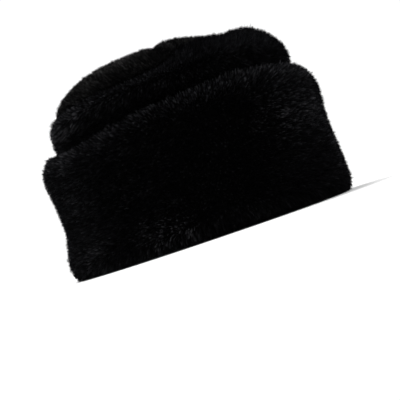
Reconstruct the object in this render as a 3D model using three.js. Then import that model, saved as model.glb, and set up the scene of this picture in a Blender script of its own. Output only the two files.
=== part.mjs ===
// A cloche hat of short plush faux fur, in millimetres, +Z up, the front of the hat towards -Y.
// The hat stands on its rim at z = 0. A deep doubled brim stands round a soft crown, which is a side
// wall and an oval top panel seamed together, and a thin smooth lining covers the inside.
import * as THREE from "three";

// Driving dimensions.
const HAT = {
  length: 270, // over the rim, front to back
  width: 237, // over the rim, side to side
  height: 170, // rim to the top of the crown
  brimHeight: 116, // rim to the crest of the brim
  hemHeight: 28, // lower edge of the crown's side wall, hidden inside the brim
  headLength: 202, // inside the lining
  headWidth: 170,
  furWall: 11, // knitted backing with its pile
  topWall: 8,
  liningWall: 1.5,
  gap: 0.7, // between neighbouring pieces
};
const AROUND = 72; // facets round the outer pieces
const LINING_AROUND = 48;

// Height of the seam between the crown's side wall and its top, and where the wall runs up higher.
const SEAM_HEIGHT = 140;
const SEAM_RISES = [{ angle: 2, flat: 32, spread: 64, lift: 22 }];
const SEAM_NOTCH = 3; // the two edges are drawn in by this much along the seam

// Places where the soft rim arches up from the table. Angles are degrees from the front, positive
// towards the wearer's left. An arch is level over flat degrees and ends at spread degrees.
const ARCHES = [
  { angle: -46, flat: 0, spread: 38, lift: 5 },
  { angle: 44, flat: 0, spread: 28, lift: 4 },
  { angle: 150, flat: 0, spread: 22, lift: 2.5 },
  { angle: -148, flat: 0, spread: 26, lift: 3 },
];
const ARCH_TOP = 52; // an arch has died out at this height

// A soft hollow of a wall: spread is its half width in degrees, tall its half height, depth how far
// it goes inwards and lift how far the cloth is raised. A minus swells or sinks instead.
const fold = (angle, height, spread, tall, depth, lift = 0) => ({
  angle,
  height,
  spread,
  tall,
  depth,
  lift,
});

const BRIM_FOLDS = [
  fold(8, 70, 15, 15, 4.5), // hollow low on the front
  fold(-14, 82, 9, 24, -2.5), // roll beside that hollow
  fold(30, 96, 12, 14, -2), // and above it
  fold(46, 54, 14, 20, 2),
  fold(-62, 66, 30, 26, 2.5),
  fold(-134, 43, 26, 12, 3.5), // waist at the back right
  fold(-136, 96, 22, 14, -3),
  fold(96, 68, 26, 24, 3),
  fold(128, 92, 16, 18, -2.5),
  fold(176, 62, 26, 22, 3),
  fold(-104, 116, 30, 22, 0, -8), // the crest hangs lower at the back right
  fold(-24, 116, 20, 20, 0, 3.5),
  fold(112, 116, 34, 22, 0, -5),
];

const CROWN_FOLDS = [
  fold(-108, 118, 28, 8, 6.5), // pocket behind the crest of the brim
  fold(-62, 121, 24, 8, 5.5),
  fold(-22, 120, 24, 8, 4),
  fold(-112, 130, 22, 8, -2), // puff that hangs over the pocket
  fold(-84, 137, 12, 6, -2),
  fold(5, 148, 7, 16, 6), // upright crease at the front
  fold(22, 146, 12, 16, -2),
  fold(-12, 158, 10, 12, 2, -4.5), // dip in the front shoulder
  fold(-30, 140, 12, 14, -2),
  fold(-48, 150, 10, 12, 3), // crease where the seam turns up
  fold(70, 128, 26, 9, 5),
  fold(104, 134, 18, 10, -3.5),
  fold(146, 124, 22, 9, 4.5),
  fold(172, 136, 16, 10, -3),
];

// Folds over the top of the crown: a valley at x, y, with half length long and half width wide,
// turned by turn degrees, that sinks by drop. A minus makes a ridge.
const SAGS = [
  { x: 4, y: -68, long: 64, wide: 13, turn: 8, drop: 7.5 }, // valley behind the front roll
  { x: 8, y: -94, long: 46, wide: 11, turn: 6, drop: -2 }, // the front roll
  { x: -38, y: -30, long: 36, wide: 15, turn: -34, drop: 4 },
  { x: 40, y: 18, long: 44, wide: 16, turn: 38, drop: 4.5 },
  { x: -12, y: 62, long: 44, wide: 13, turn: -12, drop: 3.5 },
];
const FOLD_REACH = { from: 30, full: 80 }; // folds of the walls have died out near the axis
const SAG_FROM = 140; // a fold of the top begins to show at this height
const SAG_FULL = 162;

// Outline of a level section: half lengths to the front, to the back and to the side.
const section = (height, front, back, side) => ({ height, front, back, side });
const NAMES = ["front", "back", "side"];
const CURVE_STEP = 0.01; // share of a curve over which its direction is measured

// The same section moved out by reach and up by rise.
function moved(row, reach, rise = 0) {
  const result = { ...row, height: row.height + rise };
  for (const name of NAMES) result[name] = Math.max(0, row[name] + reach);
  return result;
}

const RIM = section(12, HAT.length / 2, HAT.length / 2, HAT.width / 2);
const HEAD = section(14, HAT.headLength / 2, HAT.headLength / 2, HAT.headWidth / 2);
const LINING = moved(HEAD, HAT.liningWall);
const CROWN_INSIDE = moved(LINING, HAT.gap);
const CROWN_SEAT = moved(CROWN_INSIDE, HAT.furWall);
const BRIM_SEAT = moved(CROWN_SEAT, HAT.gap);

// The rows of each outline from its lowest section to its highest.
const BRIM_OUTSIDE = [
  moved(RIM, -8.5, -12),
  moved(RIM, -3, -8),
  RIM,
  section(28, 134.5, 132, 115.8),
  section(50, 134, 129.5, 114.5),
  section(74, 133.5, 128.5, 113.5),
  section(90, 133.4, 129.8, 114),
  section(101, 131.4, 128.4, 112.4),
  section(109, 127.2, 124.6, 108.6),
  section(114, 122.8, 120.8, 105),
  section(HAT.brimHeight, 119.4, 117.8, 102.4),
];
const CROWN_OUTLINE = [
  moved(CROWN_SEAT, 0, HAT.hemHeight - CROWN_SEAT.height),
  moved(CROWN_SEAT, 0, 70 - CROWN_SEAT.height),
  moved(CROWN_SEAT, 0, 104 - CROWN_SEAT.height),
  section(112, 114.8, 113.4, 98.8),
  section(121, 118, 113, 102),
  section(130, 118, 108.5, 101.5),
  section(138, 115.5, 103, 98),
  section(145, 109.5, 97.5, 93),
  section(151, 103.5, 91, 87.5),
  section(157, 95.5, 81, 80),
  section(162, 85, 66.5, 69),
  section(166, 66, 50, 55),
  section(168.5, 50, 34, 39),
  section(169.7, 28, 18, 22),
  section(HAT.height, 0, 0, 0),
];
// The lining hangs in loose rolls above its lower edge and closes as a dome under the top.
const LINING_OUTSIDE = [
  moved(LINING, -0.6),
  moved(LINING, 0, 5),
  moved(LINING, -3, 13),
  moved(LINING, -0.5, 20),
  moved(LINING, -3, 29),
  moved(LINING, -0.5, 40),
  moved(LINING, -0.2, 58),
  moved(LINING, -0.4, 84),
  section(112, 99.5, 98, 83.5),
  section(122, 96, 92.5, 80.5),
  section(132, 90, 85.5, 76),
  section(141, 79, 75, 68),
  section(148, 64, 60, 59),
  section(153, 42, 36, 38),
  section(155, 0, 0, 0),
];

// A smooth curve through the rows: sample(share) is the section at a share of its length.
function smoothed(rows) {
  const curves = NAMES.map(
    (name) => new THREE.SplineCurve(rows.map((row) => new THREE.Vector2(row.height, row[name]))),
  );
  return (share) => {
    const [front, back, side] = curves.map((curve) => curve.getPoint(share));
    return section(front.x, Math.max(0, front.y), Math.max(0, back.y), Math.max(0, side.y));
  };
}

// count sections of a smooth curve, from one share of its length to another.
function along(sample, count, from = 0, to = 1) {
  return Array.from({ length: count }, (_, i) => sample(from + ((to - from) * i) / (count - 1)));
}

// The share of a curve at which a height is reached.
function shareAt(sample, height) {
  let low = 0;
  let high = 1;
  while (high - low > 0.001) {
    const middle = (low + high) / 2;
    if (sample(middle).height < height) low = middle;
    else high = middle;
  }
  return low;
}

// A wall along part of a smooth curve: count rows up its outside, and the rows down its inside, which
// lie square to the curve at the wall's thickness.
function wall(sample, thickness, count, from = 0, to = 1) {
  const outside = along(sample, count, from, to);
  const inside = outside.map((row, i) => {
    const share = from + ((to - from) * i) / (count - 1);
    const below = sample(Math.max(0, share - CURVE_STEP));
    const above = sample(Math.min(1, share + CURVE_STEP));
    const inwards = new THREE.Vector2(below.height - above.height, above.side - below.side);
    inwards.setLength(thickness);
    return moved(row, inwards.x, inwards.y);
  });
  return [outside, inside.reverse()];
}

// A row at a share of the way from one row to another.
function between(a, b, share) {
  const result = section(THREE.MathUtils.lerp(a.height, b.height, share));
  for (const name of NAMES) result[name] = THREE.MathUtils.lerp(a[name], b[name], share);
  return result;
}

const degreesBetween = (a, b) => THREE.MathUtils.euclideanModulo(a - b + 180, 360) - 180;

function risesAt(rises, angle) {
  let lift = 0;
  for (const rise of rises) {
    const away = Math.abs(degreesBetween(angle, rise.angle));
    lift += rise.lift * (1 - THREE.MathUtils.smoothstep(away, rise.flat, rise.spread));
  }
  return lift;
}

function sagAt(x, y) {
  let drop = 0;
  for (const sag of SAGS) {
    const turned = new THREE.Vector2(x - sag.x, y - sag.y);
    turned.rotateAround(new THREE.Vector2(), -THREE.MathUtils.degToRad(sag.turn));
    drop += sag.drop * Math.exp(-((turned.x / sag.long) ** 2) - (turned.y / sag.wide) ** 2);
  }
  return drop;
}

// A point of a section at an angle, with the folds of the cloth in it.
function place(row, angle, folds) {
  const radians = THREE.MathUtils.degToRad(angle);
  const forwards = Math.cos(radians);
  const point = new THREE.Vector3(
    row.side * Math.sin(radians),
    -(forwards > 0 ? row.front : row.back) * forwards,
    row.height,
  );
  const reach = Math.hypot(point.x, point.y);
  if (reach > FOLD_REACH.from) {
    const outer = THREE.MathUtils.smoothstep(reach, FOLD_REACH.from, FOLD_REACH.full);
    for (const one of folds) {
      const across = degreesBetween(angle, one.angle) / one.spread;
      const up = (row.height - one.height) / one.tall;
      const share = outer * Math.exp(-across * across - up * up);
      const scale = 1 - (one.depth * share) / reach;
      point.x *= scale;
      point.y *= scale;
      point.z += one.lift * share;
    }
  }
  const nearRim = 1 - THREE.MathUtils.smoothstep(row.height, 0, ARCH_TOP);
  const onTop = THREE.MathUtils.smoothstep(row.height, SAG_FROM, SAG_FULL);
  point.z += risesAt(ARCHES, angle) * nearRim - sagAt(point.x, point.y) * onTop;
  return point;
}

// Carries a closed profile round the hat. profileAt(angle) gives its rows, up the outside of the
// wall and down the inside, and rows on the axis close it as a dome.
function carriedRound(name, around, profileAt, look) {
  const points = [];
  const index = [];
  const count = profileAt(0).length;
  const corner = (turn, i) => (turn % around) * count + (i % count);
  for (let turn = 0; turn < around; turn++) {
    const angle = (turn * 360) / around;
    const rows = profileAt(angle);
    const onAxis = rows.map((row) => row.side === 0);
    rows.forEach((row, i) => {
      const point = place(row, onAxis[i] ? 0 : angle, row.folds ?? []);
      points.push(point.x, point.y, point.z);
      const next = (i + 1) % count;
      const [a, b] = [corner(turn, i), corner(turn + 1, i)];
      const [c, d] = [corner(turn + 1, next), corner(turn, next)];
      if (!onAxis[i]) index.push(a, b, onAxis[next] ? d : c);
      if (!onAxis[next]) index.push(a, c, d);
    });
  }
  const geometry = new THREE.BufferGeometry();
  geometry.setAttribute("position", new THREE.Float32BufferAttribute(points, 3));
  geometry.setIndex(index);
  geometry.computeVertexNormals();
  const mesh = new THREE.Mesh(geometry, new THREE.MeshStandardMaterial(look));
  mesh.name = name;
  return mesh;
}

const folded = (rows, folds) => rows.map((row) => ({ ...row, folds }));
const everyOther = (rows) => rows.filter((_, i) => i % 2 === 0);

const furLook = () => ({ color: 0x0b0b0d, roughness: 0.9, metalness: 0 });
const liningLook = () => ({ color: 0x141316, roughness: 0.45, metalness: 0 });

// The brim: a doubled band of fur that stands round the crown, turned over at its crest, and turned
// in under its own rim as far as the lining.
function brim() {
  const outside = along(smoothed(BRIM_OUTSIDE), 17);
  const crest = outside.at(-1);
  const groove = [moved(crest, -2.2, -2.6), section(103, BRIM_SEAT.front, BRIM_SEAT.back, BRIM_SEAT.side)];
  const underHem = HAT.hemHeight - HAT.gap;
  const inside = [
    moved(BRIM_SEAT, 0, 60 - BRIM_SEAT.height),
    moved(BRIM_SEAT, 0, underHem - BRIM_SEAT.height),
    moved(CROWN_INSIDE, 0.4, underHem - CROWN_INSIDE.height),
    moved(CROWN_INSIDE, 0.4, 2),
    moved(CROWN_INSIDE, 3, -5),
    moved(CROWN_INSIDE, 10, -11),
    moved(RIM, -14.5, -12),
  ];
  const rows = [...folded([...outside, groove[0]], BRIM_FOLDS), groove[1], ...inside];
  return carriedRound("brim", AROUND, () => rows, furLook());
}

const crownOutline = smoothed(CROWN_OUTLINE);
const seamHeight = (angle) => SEAM_HEIGHT + risesAt(SEAM_RISES, angle);

// The crown's side wall, from its hem inside the brim to the seam of the top panel.
function crownSide() {
  return carriedRound("crown_side", AROUND, (angle) => {
    const seam = shareAt(crownOutline, seamHeight(angle));
    const [outside, inside] = wall(crownOutline, HAT.furWall, 13, 0, seam);
    outside.push(between(outside.pop(), inside[0], SEAM_NOTCH / HAT.furWall));
    return folded([...outside, ...everyOther(inside)], CROWN_FOLDS);
  }, furLook());
}

// The crown's oval top panel, a soft dome.
function crownTop() {
  return carriedRound("crown_top", AROUND, (angle) => {
    const seam = shareAt(crownOutline, seamHeight(angle) + HAT.gap);
    const [outside, inside] = wall(crownOutline, HAT.topWall, 11, seam);
    outside[0] = between(outside[0], inside.at(-1), SEAM_NOTCH / HAT.topWall);
    return folded([...outside, ...everyOther(inside)], CROWN_FOLDS);
  }, furLook());
}

function lining() {
  const [outside, inside] = wall(smoothed(LINING_OUTSIDE), HAT.liningWall, 15);
  return carriedRound("lining", LINING_AROUND, () => [...outside, ...inside], liningLook());
}

const hat = new THREE.Group();
hat.name = "cloche_hat";
hat.add(brim(), crownSide(), crownTop(), lining());

export default hat;
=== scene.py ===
import math

import bpy
import numpy as np
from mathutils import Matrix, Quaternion, Vector
from mathutils.bvhtree import BVHTree
from mathutils.kdtree import KDTree


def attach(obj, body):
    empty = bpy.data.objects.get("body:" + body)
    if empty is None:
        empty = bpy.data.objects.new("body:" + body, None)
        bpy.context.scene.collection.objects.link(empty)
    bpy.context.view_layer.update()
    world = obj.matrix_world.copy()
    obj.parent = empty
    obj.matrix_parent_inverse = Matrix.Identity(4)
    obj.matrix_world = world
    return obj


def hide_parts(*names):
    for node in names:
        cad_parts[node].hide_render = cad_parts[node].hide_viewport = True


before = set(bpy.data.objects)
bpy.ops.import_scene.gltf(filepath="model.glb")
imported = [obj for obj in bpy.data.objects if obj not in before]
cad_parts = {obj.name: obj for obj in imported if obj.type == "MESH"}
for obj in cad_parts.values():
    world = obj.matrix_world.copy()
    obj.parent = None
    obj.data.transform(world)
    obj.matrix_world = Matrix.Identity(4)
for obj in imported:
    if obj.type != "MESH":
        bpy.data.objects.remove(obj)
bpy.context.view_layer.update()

# Camera: it stands a thumb's breadth above the table top, to the front right of the hat, and looks
# slightly upwards. It is rolled, so that the hat leans back in the picture.
BEARING = math.radians(-52)  # from the front of the hat
AWAY = 0.75
OVER_TABLE = 0.016
ROLL = math.radians(-18.9)
stand = Vector((AWAY * math.sin(BEARING), -AWAY * math.cos(BEARING), OVER_TABLE))
aim = Vector((0.0005, 0.0, 0.034))
camera_data = bpy.data.cameras.new("camera")
camera_data.lens = 76
camera = bpy.data.objects.new("camera", camera_data)
bpy.context.scene.collection.objects.link(camera)
camera.location = stand
camera.rotation_mode = "QUATERNION"
camera.rotation_quaternion = (aim - stand).to_track_quat("-Z", "Y") @ Quaternion((0, 0, 1), ROLL)
bpy.context.scene.camera = camera

# Brim: a band of plush faux fur, doubled over at the crest, turned in under the rim and sewn round
# the crown. The fur is a knitted backing with a dense black pile of about 9 mm. Only the outer part
# of the pile is made as strands: below that it is too dense to see into.


def rest_of_hat(node):
    """All the pieces but one, for measuring how near they lie to it."""
    places, faces = [], []
    for name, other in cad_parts.items():
        if name != node:
            first = len(places)
            places += [corner.co.copy() for corner in other.data.vertices]
            faces += [[first + i for i in face.vertices] for face in other.data.polygons]
    return BVHTree.FromPolygons(places, faces)


others = {node: rest_of_hat(node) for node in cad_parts}

MERGED = 0.00002  # corners of the cut shape nearer than this are one


def rounded_cloth(name, node, levels=1):
    """The cut shape as one piece of cloth, with its corners merged and its facets rounded."""
    bpy.ops.object.select_all(action="DESELECT")
    cloth = bpy.data.objects.new(name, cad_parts[node].data.copy())
    bpy.context.scene.collection.objects.link(cloth)
    bpy.context.view_layer.objects.active = cloth
    cloth.select_set(True)
    bpy.ops.mesh.customdata_custom_splitnormals_clear()
    bpy.ops.object.mode_set(mode="EDIT")
    bpy.ops.mesh.select_all(action="SELECT")
    bpy.ops.mesh.remove_doubles(threshold=MERGED)
    bpy.ops.mesh.tris_convert_to_quads()
    bpy.ops.object.mode_set(mode="OBJECT")
    rounding = cloth.modifiers.new("rounding", "SUBSURF")
    rounding.levels = rounding.render_levels = levels
    bpy.ops.object.modifier_apply(modifier=rounding.name)
    bpy.ops.object.shade_smooth()
    cloth.data.materials.clear()
    return cloth


PILE_ROOM = 0.0032  # the backing is drawn in by this much, to leave room for the pile
JOINED = 0.0012  # pieces nearer than this are sewn together, and neither is drawn in there
FREE = 0.0025  # where they are this much further apart, the backing is drawn in fully
FULLY_OUT = 0.5  # so is a one-sided piece where its face is turned outwards or up this far
PRESSED = 0.014  # below this height the weight of the hat presses the pile of the rim flat,
PRESSED_BY = 0.7  # at the lowest by this share of its room


def knitted_backing(name, node, one_sided=False):
    """The backing under the pile: the cut shape, drawn in wherever the pile can stand."""
    cloth = rounded_cloth(name, node)
    free = cloth.vertex_groups.new(name="free")
    for corner in cloth.data.vertices:
        share = (others[node].find_nearest(corner.co)[3] - JOINED) / FREE
        share = min(1, max(0, share))
        if one_sided:  # its inner face has no pile and stays where it is
            away = Vector((corner.co.x, corner.co.y, 0)).normalized()
            turned = max(corner.normal.dot(away), corner.normal.z)
            share *= min(1, max(0, turned / FULLY_OUT))
        free.add([corner.index], share, "REPLACE")
    drawn_in = cloth.modifiers.new("drawn_in", "DISPLACE")
    drawn_in.vertex_group = free.name
    drawn_in.strength = -PILE_ROOM
    drawn_in.mid_level = 0
    bpy.ops.object.modifier_apply(modifier=drawn_in.name)
    for corner in cloth.data.vertices:
        corner.co.z -= PRESSED_BY * PILE_ROOM * max(0, 1 - corner.co.z / PRESSED)
    return cloth


def unit(vectors):
    """The same directions, each of length one."""
    return vectors / np.maximum(np.linalg.norm(vectors, axis=1, keepdims=True), 1e-9)


def away_from_middle(place):
    """The level direction away from the middle of the hat."""
    return unit(place * [1, 1, 0])


def round_hat(place):
    """The level direction round the hat."""
    return np.stack([-place[:, 1], place[:, 0], np.zeros(len(place))], 1)


def along_profile(place, normal):
    """The nap that follows a band turned over its edges: up inside, out over the crest and down."""
    return np.cross(round_hat(place), normal)


class Backing:
    """The backing as tables of numbers: its corners, its outward directions and its triangles."""

    def __init__(self, piece):
        mesh = piece.data
        mesh.calc_loop_triangles()
        self.corners = np.empty((len(mesh.vertices), 3), dtype=np.float32)
        mesh.vertices.foreach_get("co", self.corners.ravel())
        self.outward = np.empty((len(mesh.vertices), 3), dtype=np.float32)
        mesh.vertices.foreach_get("normal", self.outward.ravel())
        self.faces = np.empty((len(mesh.loop_triangles), 3), dtype=np.int32)
        mesh.loop_triangles.foreach_get("vertices", self.faces.ravel())

    def plant(self, rng, count, where):
        """Roots spread evenly over the wanted part of the cloth, and the way out from each."""
        a, b, c = (self.corners[self.faces[:, i]] for i in range(3))
        area = np.linalg.norm(np.cross(b - a, c - a), axis=1)
        area = area * where((a + b + c) / 3, unit(self.outward[self.faces].sum(1)))
        chosen = self.faces[rng.choice(len(self.faces), count, p=area / area.sum())]
        share = rng.random((count, 2))
        over = share.sum(1) > 1
        share[over] = 1 - share[over]
        share = np.column_stack([1 - share.sum(1), share])[:, :, None]
        return (self.corners[chosen] * share).sum(1), unit((self.outward[chosen] * share).sum(1))


COVERED = 0.0008  # no pile where another piece lies closer than this over it


def uncovered(root, normal, node):
    """True where no other piece lies close over the backing, as in seams and under the crown."""
    lies_over = others[node].ray_cast
    found = (lies_over(Vector(at), Vector(up), COVERED)[0] for at, up in zip(root, normal))
    return np.array([hit is None for hit in found])


STRANDS_A_TUFT = 12
TUFT_SIZE = 0.0009  # from its heart to its edge
TUFTS_LEAN = 0.4  # how far each leans its own way
LEANS = ((130, 0.4), (650, 0.5))  # waves over the cloth in which they lean together, and how far
WAVE_START = 6  # in radians, at most
TUFTS_UNEVEN = 0.14  # spread of their lengths
GATHERED = (0.4, 0.9)  # how far the tips of a tuft come together


class Tufts:
    """The bunches of the pile. Each strand has the lean, length and shade of the tuft it is in."""

    def __init__(self, rng, root):
        hearts = root[rng.choice(len(root), len(root) // STRANDS_A_TUFT, replace=False)]
        tree = KDTree(len(hearts))
        for i, heart in enumerate(hearts):
            tree.insert(heart, i)
        tree.balance()
        self.count = len(hearts)
        self.own = np.array([tree.find(place)[1] for place in root])
        lean = rng.normal(0, TUFTS_LEAN, hearts.shape)
        for pace, amount in LEANS:
            ways = rng.normal(0, pace, (3, 3))
            lean += amount * np.sin(hearts @ ways + rng.random(3) * WAVE_START)
        self.heart = hearts[self.own]
        self.lean = lean[self.own]
        self.length = rng.normal(1, TUFTS_UNEVEN, self.count)[self.own]
        self.pull = rng.uniform(*GATHERED, self.count)[self.own][:, None]
        self.tone = rng.random(self.count)[self.own]

    def gather(self, tip):
        """Draws the tips of each tuft towards their middle."""
        middle = np.zeros((self.count, 3))
        np.add.at(middle, self.own, tip)
        middle /= np.maximum(np.bincount(self.own, minlength=self.count), 1)[:, None]
        return tip + (middle[self.own] - tip) * self.pull


STRAND_CHART = np.array([[0.1, 0.1], [0.9, 0.1], [0.5, 0.9]])  # root at the bottom, tip at the top


def strand_mesh(name, points, tone, soft):
    """A narrow triangle for each strand, with its shade, its patch of the map and its direction."""
    count = len(points)
    pile = bpy.data.objects.new(name, bpy.data.meshes.new(name))
    bpy.context.scene.collection.objects.link(pile)
    pile.data.from_pydata(points.reshape(-1, 3), [], np.arange(count * 3).reshape(-1, 3))
    for label, values in (("tip", np.tile([0, 0, 1], count)), ("tone", np.repeat(tone, 3))):
        pile.data.attributes.new(label, "FLOAT", "POINT").data.foreach_set("value", values)
    cells = math.ceil(math.sqrt(count))
    corner = np.stack([np.arange(count) % cells, np.arange(count) // cells], 1)[:, None]
    chart = ((corner + STRAND_CHART) / cells).reshape(-1, 2)
    pile.data.uv_layers.new(name="OFBake").data.foreach_set("uv", chart.ravel())
    pile.data.shade_smooth()
    pile.data.normals_split_custom_set_from_vertices(np.repeat(soft, 3, axis=0))
    return pile


SPARE = 1.15  # roots planted for each one wanted, because some turn out to be covered
PILE_LENGTH = 0.0052
UNEVEN = 0.12  # spread of the strands' lengths within a tuft
STRAND_WIDTH = 0.00046
WIDTHS = (0.7, 1.3)  # times that
TWIST = 0.6  # how far the strands turn their flat sides different ways
OVER_EDGE = 2.3  # the greater, the narrower the strip along an edge in which the pile opens and is painted paler, a painted highlight on its upper face
SEAM_DEPTH = 0.006  # how far from a seam the pile is still shorter
AT_SEAM = 0.3  # share of its length there
SHORTEST = 0.4  # and at the least, in a seam and a crease together
SOLE = 0.6  # how much longer it is under the arches of the rim, where it reaches the table
NAP, BUNCHED, LOOSE = 0.5, 0.3, 0.5  # how far nap, tuft and chance each turn a strand's lay
PARTED, PARTED_FLAT_AND_SHADED, PARTED_SHORT = 2.2, 0.8, 0.65  # how it lies aside, flat and short in a crease; there it is also painted darker, a painted shade
UPRIGHT_SPREAD, UPRIGHT_LEAST, UPRIGHT_MOST = 0.25, 0.4, 1.8  # as shares of what is usual
LIFTED_UP = 0.5  # how far lifted pile stands up more
COMBED_DOWN = 0.012  # about this far up, the pile hangs over the edge of the rim:
HANG_START, HANG, HANG_SHADE = 1.2, 2.5, 0.4  # times that height, how strongly, and how much darker it is painted there, a painted shade low by the table
TABLE_TOP = 0.0002  # no strand goes lower
TONE, TUFT_TONE, OWN_TONE = 0.8, 0.6, 0.4  # how pale: in all, by its tuft, by itself
RARE = 4  # the greater, the fewer pale strands
PAINTED_LIGHT_TONE = 2.5  # how much paler lifted pile is painted, a painted highlight, and how much darker pressed pile, a painted shade
SOLE_OUT = 1.3  # how soon the pile under the rim takes the light of the wall above it
TUFT_ROUND, TUFT_ASKEW, ROUGH = 0.8, 0.4, 0.16  # how a tuft catches the light
CLOTH_LIGHT, STRAND_LIGHT = 0.85, 0.15  # shares of the cloth's and of the strand's own direction


def grow_pile(
    name, cloth, node, count, where, nap, seed, stand=2.8, patches_lifted_and_lit=(), parted=(), opened_and_top_lit=0
):
    """Plants count strands on the cloth, in tufts that lean and part as plush does under a brush.
    """
    rng = np.random.default_rng(seed)
    root, normal = Backing(cloth).plant(rng, int(count * SPARE), where)
    clear = uncovered(root, normal, node)
    root, normal = root[clear][:count], normal[clear][:count]
    count = len(root)
    tufts = Tufts(rng, root)
    height = root[:, 2]
    angle = np.degrees(np.arctan2(root[:, 0], -root[:, 1]))
    # Painted highlight: pile facing up, as along the crest, is painted paler as well as made to
    # stand up more.
    lift_and_painted_light = opened_and_top_lit * np.clip(normal[:, 2], 0, 1) ** OVER_EDGE
    # Painted highlight or shade: in each listed patch the pile stands up and is painted paler, or
    # with a minus lies flatter and is painted darker.
    for at, middle, wide, tall, amount in patches_lifted_and_lit:
        lift_and_painted_light += amount * np.exp(-(((angle - at) / wide) ** 2 + ((height - middle) / tall) ** 2))

    # How long the strands are and which way they lie.
    seam = np.array([others[node].find_nearest(Vector(place))[3] for place in root])
    reach = PILE_LENGTH * tufts.length * rng.normal(1, UNEVEN, count)
    short = np.clip(AT_SEAM + (1 - AT_SEAM) * seam / SEAM_DEPTH, AT_SEAM, 1)
    reach *= 1 + SOLE * np.clip(-normal[:, 2], 0, 1)
    around = unit(round_hat(root))
    lay = NAP * unit(nap(root, normal)) + BUNCHED * tufts.lean + rng.normal(0, LOOSE, root.shape)
    for at, middle, wide, tall in parted:  # the pile lies to both sides of a crease
        off = (angle - at) / wide
        near = np.exp(-(off**2) - ((height - middle) / tall) ** 2)
        lay += PARTED * around * (np.sign(off) * near)[:, None]
        # Painted shade: in the crease the pile is painted darker as well as laid flatter.
        lift_and_painted_light -= PARTED_FLAT_AND_SHADED * near
        short *= 1 - PARTED_SHORT * near
    reach *= np.maximum(short, SHORTEST)
    lay = unit(lay - normal * (lay * normal).sum(1, keepdims=True))

    # Where their tips are.
    upright = np.clip(rng.normal(1, UPRIGHT_SPREAD, count), UPRIGHT_LEAST, UPRIGHT_MOST)
    upright = upright * stand * (1 + LIFTED_UP * lift_and_painted_light)
    hangs = np.clip(HANG_START - height / COMBED_DOWN, 0, 1)
    points_to = lay + normal * upright[:, None]
    points_to[:, 2] -= HANG * hangs
    tip = tufts.gather(root + reach[:, None] * unit(points_to))
    across = unit(np.cross(lay, normal) + normal * rng.normal(0, TWIST, (count, 1)))
    half = across * (STRAND_WIDTH / 2 * rng.uniform(*WIDTHS, (count, 1)))
    points = np.stack([root - half, root + half, tip], 1)
    points[:, :, 2] = np.maximum(points[:, :, 2], TABLE_TOP)

    # How pale they are, painted paler as painted highlight where the pile is lifted and darker as
    # painted shade where it is pressed or hangs by the table, and how they catch the light.
    tone = TONE * (TUFT_TONE * tufts.tone + OWN_TONE * rng.random(count)) ** RARE
    tone *= np.maximum(0, 1 + PAINTED_LIGHT_TONE * lift_and_painted_light) * (1 - HANG_SHADE * hangs)
    aside = root - tufts.heart
    aside -= normal * (aside * normal).sum(1, keepdims=True)
    outwards = away_from_middle(root) * np.clip(-SOLE_OUT * normal[:, 2:], 0, 1)
    bunched = normal + outwards + TUFT_ROUND * aside / TUFT_SIZE + TUFT_ASKEW * tufts.lean
    bunched += rng.normal(0, ROUGH, root.shape)
    soft = unit(CLOTH_LIGHT * unit(bunched) + STRAND_LIGHT * np.cross(across, lay))
    return strand_mesh(name, points, tone, soft)


def pile_shades():
    """The shades along and between strands: roots painted dark as painted shade deep in the pile,
    paler tips, and patches of paler and darker pile.
    """
    group = bpy.data.node_groups.new("pile_shades", "ShaderNodeTree")
    for label, kind in (("Root Color", "NodeSocketColor"), ("Tip Color", "NodeSocketColor")):
        group.interface.new_socket(label, in_out="INPUT", socket_type=kind)
    for label, kind in (("Color", "NodeSocketColor"), ("Roughness", "NodeSocketFloat")):
        group.interface.new_socket(label, in_out="OUTPUT", socket_type=kind)
    nodes, links = group.nodes, group.links
    given = nodes.new("NodeGroupInput")
    result = nodes.new("NodeGroupOutput")
    tip = nodes.new("ShaderNodeAttribute")
    tip.attribute_name = "tip"
    tone = nodes.new("ShaderNodeAttribute")
    tone.attribute_name = "tone"
    place = nodes.new("ShaderNodeTexCoord")
    patches = nodes.new("ShaderNodeTexNoise")
    patches.inputs["Scale"].default_value = 38  # to a metre
    patches.inputs["Detail"].default_value = 3
    links.new(place.outputs["Object"], patches.inputs["Vector"])
    shade_to_root = nodes.new("ShaderNodeMath")  # painted shade: the strand is painted darker towards its root, deep in the pile, so only its end is paler
    shade_to_root.operation = "POWER"
    shade_to_root.inputs[1].default_value = 1.6
    links.new(tip.outputs["Fac"], shade_to_root.inputs[0])
    mixed = nodes.new("ShaderNodeMath")
    mixed.operation = "MULTIPLY"
    links.new(shade_to_root.outputs[0], mixed.inputs[0])
    varied = nodes.new("ShaderNodeMapRange")
    varied.clamp = False
    varied.inputs["To Min"].default_value = 0.05
    links.new(tone.outputs["Fac"], varied.inputs["Value"])
    links.new(varied.outputs["Result"], mixed.inputs[1])
    patchy = nodes.new("ShaderNodeMapRange")
    patchy.inputs["From Min"].default_value = 0.35
    patchy.inputs["From Max"].default_value = 0.68
    patchy.inputs["To Min"].default_value = 0.45
    links.new(patches.outputs["Fac"], patchy.inputs["Value"])
    share = nodes.new("ShaderNodeMath")
    share.operation = "MULTIPLY"
    links.new(mixed.outputs[0], share.inputs[0])
    links.new(patchy.outputs["Result"], share.inputs[1])
    colour = nodes.new("ShaderNodeMix")
    colour.data_type = "RGBA"
    links.new(share.outputs[0], colour.inputs["Factor"])
    links.new(given.outputs["Root Color"], colour.inputs["A"])
    links.new(given.outputs["Tip Color"], colour.inputs["B"])
    links.new(colour.outputs["Result"], result.inputs["Color"])
    rough = nodes.new("ShaderNodeMapRange")
    rough.inputs["To Min"].default_value = 0.72
    rough.inputs["To Max"].default_value = 0.5
    links.new(share.outputs[0], rough.inputs["Value"])
    links.new(rough.outputs["Result"], result.inputs["Roughness"])
    return group


PILE_SHADES = pile_shades()


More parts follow.
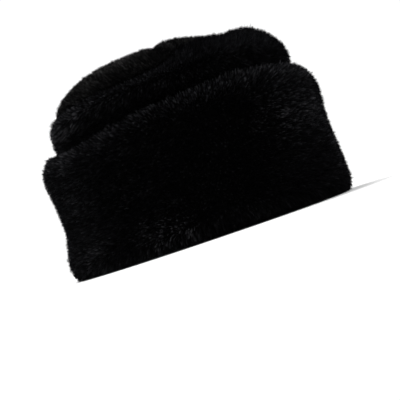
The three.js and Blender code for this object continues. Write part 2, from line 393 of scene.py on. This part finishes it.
def plush(name, root, tip, sheen=0.014):
    """Black acrylic pile: matt, with a soft grey sheen where it is seen along the surface."""
    material = bpy.data.materials.new(name)
    material.use_nodes = True
    nodes, links = material.node_tree.nodes, material.node_tree.links
    surface = nodes["Principled BSDF"]
    shades = nodes.new("ShaderNodeGroup")
    shades.node_tree = PILE_SHADES
    shades.inputs["Root Color"].default_value = (*root, 1)
    shades.inputs["Tip Color"].default_value = (*tip, 1)
    links.new(shades.outputs["Color"], surface.inputs["Base Color"])
    links.new(shades.outputs["Roughness"], surface.inputs["Roughness"])
    surface.inputs["Specular IOR Level"].default_value = 0
    surface.inputs["Sheen Weight"].default_value = sheen
    surface.inputs["Sheen Roughness"].default_value = 0.2
    surface.inputs["Sheen Tint"].default_value = (0.78, 0.8, 0.9, 1)
    return material


def knit(name, colour):
    """The knitted ground of the fur, nearly hidden, with the short underpile as a fine bump."""
    material = bpy.data.materials.new(name)
    material.use_nodes = True
    nodes, links = material.node_tree.nodes, material.node_tree.links
    surface = nodes["Principled BSDF"]
    place = nodes.new("ShaderNodeTexCoord")
    underpile = nodes.new("ShaderNodeTexNoise")
    underpile.inputs["Scale"].default_value = 900  # to a metre
    underpile.inputs["Detail"].default_value = 4
    links.new(place.outputs["Object"], underpile.inputs["Vector"])
    tint = nodes.new("ShaderNodeMix")
    tint.data_type = "RGBA"
    tint.inputs["A"].default_value = (*[0.4 * v for v in colour], 1)
    tint.inputs["B"].default_value = (*colour, 1)
    links.new(underpile.outputs["Fac"], tint.inputs["Factor"])
    links.new(tint.outputs["Result"], surface.inputs["Base Color"])
    raised = nodes.new("ShaderNodeBump")
    raised.inputs["Strength"].default_value = 0.8
    raised.inputs["Distance"].default_value = 0.0012
    links.new(underpile.outputs["Fac"], raised.inputs["Height"])
    links.new(raised.outputs["Normal"], surface.inputs["Normal"])
    surface.inputs["Roughness"].default_value = 0.85
    surface.inputs["Specular IOR Level"].default_value = 0.03
    return material


BLACK_PILE = plush("black_pile", (0.0020, 0.0020, 0.0023), (0.110, 0.110, 0.120))
BLACK_KNIT = knit("black_knit", (0.0016, 0.0016, 0.0018))

FACES_OUT = 0.2  # from this far the cloth counts as turned outwards
FACES_IN = -0.999  # and to this far as turned straight to the middle
FACES_UP = 0.3
POCKET_FLOOR = 0.099
FACING_TOP = 0.025


def turned_out(place, normal):
    """How far the cloth is turned away from the middle of the hat, from -1 to 1."""
    return (normal * away_from_middle(place)).sum(1)


def outside_brim(place, normal):
    """Where the brim's pile shows from outside: its wall, its crest and down into the pocket."""
    turned = turned_out(place, normal)
    pocket = (place[:, 2] > POCKET_FLOOR) & (turned > FACES_IN)
    return np.where((turned > FACES_OUT) | pocket | (normal[:, 2] > FACES_UP), 1.0, 0.0)


def under_brim(place, normal):
    """The turned-in edge under the rim, as far up as the lining."""
    inside = (turned_out(place, normal) <= FACES_OUT) & (normal[:, 2] < FACES_UP)
    return np.where(inside & (place[:, 2] < FACING_TOP), 1.0, 0.0)


def put_on(piece, material, node):
    """Gives a piece of the fur its finish and its place in the hat."""
    piece.data.materials.append(material)
    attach(piece, "root")
    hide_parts(node)


# Each row: degrees from the front, height, reach round in degrees, reach up, and how far the pile
# is lifted there. Lifted pile stands up more and is painted paler, a painted highlight on the
# crest, across the band and low by the rim.
BRUSHED_AND_HIGHLIT = [
    (-115, 0.075, 25, 0.050, 0.4),
    (10, 0.074, 4, 0.014, 0.9),
    (11, 0.052, 4, 0.014, 1.0),
    (12, 0.030, 4, 0.012, 0.9),
    (-8, 0.074, 12, 0.018, 1.8),
    (-13, 0.116, 15, 0.006, 1.8),
    (-67, 0.017, 9, 0.012, 3.2),
    (-106, 0.012, 13, 0.018, 0.8),
]
brim_cloth = knitted_backing("brim_cloth", "brim")
put_on(brim_cloth, BLACK_KNIT, "brim")
for side, sign in (("right", -1), ("left", 1)):
    brim_pile = grow_pile(
        f"brim_pile_{side}",
        brim_cloth,
        "brim",
        190000,
        lambda place, normal: outside_brim(place, normal) * (place[:, 0] * sign > 0),
        along_profile,
        seed=11 + sign,
        patches_lifted_and_lit=BRUSHED_AND_HIGHLIT,
        opened_and_top_lit=6.2,
    )
    put_on(brim_pile, BLACK_PILE, "brim")
turned_in = grow_pile(
    "brim_facing_pile",
    brim_cloth,
    "brim",
    60000,
    under_brim,
    along_profile,
    seed=21,
    stand=0.6,
)
put_on(turned_in, BLACK_PILE, "brim")

# Crown side: the soft wall of the crown, of the same plush, sewn inside the brim. It puffs out over
# the crest of the brim at the back and is creased at the front.
CROWN_SHOWS = 0.102  # from this height, just over the floor of the brim's pocket
CROWN_FACES_OUT = 0.1


def outside_crown(place, normal):
    """Where the crown's pile can be seen: outside, and above the bottom of the brim's pocket."""
    turned = np.maximum(turned_out(place, normal), normal[:, 2])
    return np.where((turned > CROWN_FACES_OUT) & (place[:, 2] > CROWN_SHOWS), 1.0, 0.0)


BACK_CREASE = (-48, 0.150, 5, 0.011)  # degrees from the front, height, half width, half height
CREASES = [
    (-4.5, 0.138, 2, 0.005),
    (-6.5, 0.132, 2, 0.005),
    (-8.5, 0.126, 2, 0.005),
    BACK_CREASE,
]
# Rows with the same columns as the brim's lifted patches: where the pile puffs up it is painted
# paler, a painted highlight; a minus where it lies flatter and is painted darker, a painted shade:
# below the seam at the back right, and on both sides of the front crease.
PUFFED_LIT_AND_SHADED = [
    (-95, 0.133, 34, 0.005, 2.6),
    (-125, 0.126, 22, 0.010, 3.0),
    (-28, 0.150, 36, 0.016, -0.33),
    (-15, 0.138, 5, 0.010, 0.9),
    (-3, 0.134, 5, 0.012, -0.35),
    (-5.5, 0.135, 1.2, 0.005, -0.9),
    (-7.5, 0.129, 1.2, 0.005, -0.9),
]
crown_side_cloth = knitted_backing("crown_side_cloth", "crown_side", one_sided=True)
put_on(crown_side_cloth, BLACK_KNIT, "crown_side")
crown_side_pile = grow_pile(
    "crown_side_pile",
    crown_side_cloth,
    "crown_side",
    150000,
    outside_crown,
    along_profile,
    seed=31,
    patches_lifted_and_lit=PUFFED_LIT_AND_SHADED,
    parted=CREASES,
)
put_on(crown_side_pile, BLACK_PILE, "crown_side")

# Crown top: the oval panel that closes the crown, one flat cut of plush seamed to the side wall, so
# its nap runs one way over the whole of it, from the front to the back.
# Painted shade: the top is the same plush painted a little darker and warmer, with less sheen, so
# that under the lamp above it shows no lighter than the wall.
TOP_PILE_PAINTED_DARKER = plush("top_pile_painted_darker", (0.0018, 0.0018, 0.0018), (0.098, 0.096, 0.094), sheen=0.006)
TOP_NAP = [0.12, 0.85, -0.5]


def to_the_back(place, normal):
    """The nap of a flat panel, the same all over it."""
    return np.tile(TOP_NAP, (len(place), 1))


crown_top_cloth = knitted_backing("crown_top_cloth", "crown_top", one_sided=True)
put_on(crown_top_cloth, BLACK_KNIT, "crown_top")
crown_top_pile = grow_pile(
    "crown_top_pile",
    crown_top_cloth,
    "crown_top",
    160000,
    outside_crown,
    to_the_back,
    seed=41,
    stand=2.2,
    parted=[BACK_CREASE],
    opened_and_top_lit=0.7,
)
put_on(crown_top_pile, TOP_PILE_PAINTED_DARKER, "crown_top")

# Lining: thin black satin that hangs a little loose inside, caught down to the turned-in fur along
# its lower edge. It is cut from upright panels and creases softly between them.
CREASE_DEPTH = 0.0006
SOFT_CREASES = ((9, 0.4), (14, 1.9), (23, 0.8))  # creases round the lining, where each row starts
SLANTED = 40  # how far they turn round the lining on their way up, in radians per metre
HELD_LOW, LOOSE_LOW = 0.02, 0.02  # held up to this height, and fully loose this much higher
HELD_HIGH, LOOSE_HIGH = 0.125, 0.03  # the same from the top down
satin_lining = rounded_cloth("satin_lining", "lining", levels=2)
for corner in satin_lining.data.vertices:
    x, y, z = corner.co
    around = math.atan2(x, -y)
    loose = max(0, min(1, (z - HELD_LOW) / LOOSE_LOW))
    loose *= max(0, min(1, (HELD_HIGH - z) / LOOSE_HIGH))
    waves = sum(math.sin(many * around + start + SLANTED * z) for many, start in SOFT_CREASES)
    inwards = CREASE_DEPTH * loose * (1 + waves / len(SOFT_CREASES))
    corner.co -= Vector((x, y, 0)).normalized() * inwards


def satin_cloth(name, dark, light):
    """Satin: floats of fine yarn that shine along their length, with slack puckers."""
    material = bpy.data.materials.new(name)
    material.use_nodes = True
    nodes, links = material.node_tree.nodes, material.node_tree.links
    surface = nodes["Principled BSDF"]
    place = nodes.new("ShaderNodeTexCoord")
    stretched = nodes.new("ShaderNodeMapping")  # floats are long upwards and fine across
    stretched.inputs["Scale"].default_value = (1, 1, 0.12)
    links.new(place.outputs["Object"], stretched.inputs["Vector"])
    yarns = nodes.new("ShaderNodeTexNoise")
    yarns.inputs["Scale"].default_value = 2200  # to a metre
    yarns.inputs["Detail"].default_value = 1
    links.new(stretched.outputs["Vector"], yarns.inputs["Vector"])
    puckers = nodes.new("ShaderNodeTexNoise")
    puckers.inputs["Scale"].default_value = 60  # to a metre
    puckers.inputs["Detail"].default_value = 2
    puckers.inputs["Distortion"].default_value = 0.6
    links.new(place.outputs["Object"], puckers.inputs["Vector"])
    tint = nodes.new("ShaderNodeMix")
    tint.data_type = "RGBA"
    tint.inputs["A"].default_value = (*dark, 1)
    tint.inputs["B"].default_value = (*light, 1)
    links.new(yarns.outputs["Fac"], tint.inputs["Factor"])
    links.new(tint.outputs["Result"], surface.inputs["Base Color"])
    shine = nodes.new("ShaderNodeMapRange")
    shine.inputs["To Min"].default_value = 0.3
    shine.inputs["To Max"].default_value = 0.48
    links.new(puckers.outputs["Fac"], shine.inputs["Value"])
    links.new(shine.outputs["Result"], surface.inputs["Roughness"])
    slack = nodes.new("ShaderNodeBump")
    slack.inputs["Strength"].default_value = 0.35
    slack.inputs["Distance"].default_value = 0.002
    links.new(puckers.outputs["Fac"], slack.inputs["Height"])
    weave = nodes.new("ShaderNodeBump")
    weave.inputs["Strength"].default_value = 0.25
    weave.inputs["Distance"].default_value = 0.0002
    links.new(yarns.outputs["Fac"], weave.inputs["Height"])
    links.new(slack.outputs["Normal"], weave.inputs["Normal"])
    links.new(weave.outputs["Normal"], surface.inputs["Normal"])
    surface.inputs["Specular IOR Level"].default_value = 0.4
    return material


BLACK_SATIN = satin_cloth("black_satin", (0.006, 0.006, 0.008), (0.016, 0.015, 0.019))
satin_lining.data.materials.append(BLACK_SATIN)
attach(satin_lining, "root")
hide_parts("lining")

# Table top: a plain pale sheet of card under the hat. Soft light comes from all round, with a broad
# lamp high behind the hat, on the left of the picture, and a weaker one on its right.
bpy.ops.object.select_all(action="DESELECT")
bpy.ops.mesh.primitive_circle_add(vertices=96, radius=0.8, fill_type="NGON")
table = bpy.context.object
table.name = "table_top"
pale = bpy.data.materials.new("pale_card")
pale.use_nodes = True
nodes, links = pale.node_tree.nodes, pale.node_tree.links
card = nodes["Principled BSDF"]
card.inputs["Roughness"].default_value = 0.9
spread = nodes.new("ShaderNodeTexCoord")
fibres = nodes.new("ShaderNodeTexNoise")
fibres.inputs["Scale"].default_value = 20
links.new(spread.outputs["Object"], fibres.inputs["Vector"])
mottle = nodes.new("ShaderNodeMapRange")
mottle.inputs["To Min"].default_value = 0.88
mottle.inputs["To Max"].default_value = 0.92
links.new(fibres.outputs["Fac"], mottle.inputs["Value"])
links.new(mottle.outputs["Result"], card.inputs["Base Color"])
table.data.materials.append(pale)

world = bpy.data.worlds.new("white_room")
world.use_nodes = True
nodes, links = world.node_tree.nodes, world.node_tree.links
room = nodes["Background"]
room.inputs["Color"].default_value = (1, 1, 1, 1)
seen = nodes.new("ShaderNodeLightPath")
glow = nodes.new("ShaderNodeMapRange")
glow.inputs["To Min"].default_value = 0.4  # what it lights the hat with
glow.inputs["To Max"].default_value = 1.05  # how it looks
links.new(seen.outputs["Is Camera Ray"], glow.inputs["Value"])
links.new(glow.outputs["Result"], room.inputs["Strength"])
bpy.context.scene.world = world
bpy.context.scene.view_settings.view_transform = "Standard"

HAT_MIDDLE = Vector((0, 0, 0.08))


def softbox(name, place, size, power):
    """A round lamp turned to the hat."""
    lamp = bpy.data.lights.new(name, "AREA")
    lamp.shape = "DISK"
    lamp.size = size
    lamp.energy = power
    box = bpy.data.objects.new(name, lamp)
    bpy.context.scene.collection.objects.link(box)
    box.location = place
    box.rotation_euler = (HAT_MIDDLE - Vector(place)).to_track_quat("-Z", "Y").to_euler()


softbox("high_back_lamp", (-0.12, 0.32, 1.25), 0.8, 21)
softbox("side_lamp", (0.9, -0.8, 0.8), 0.8, 12)
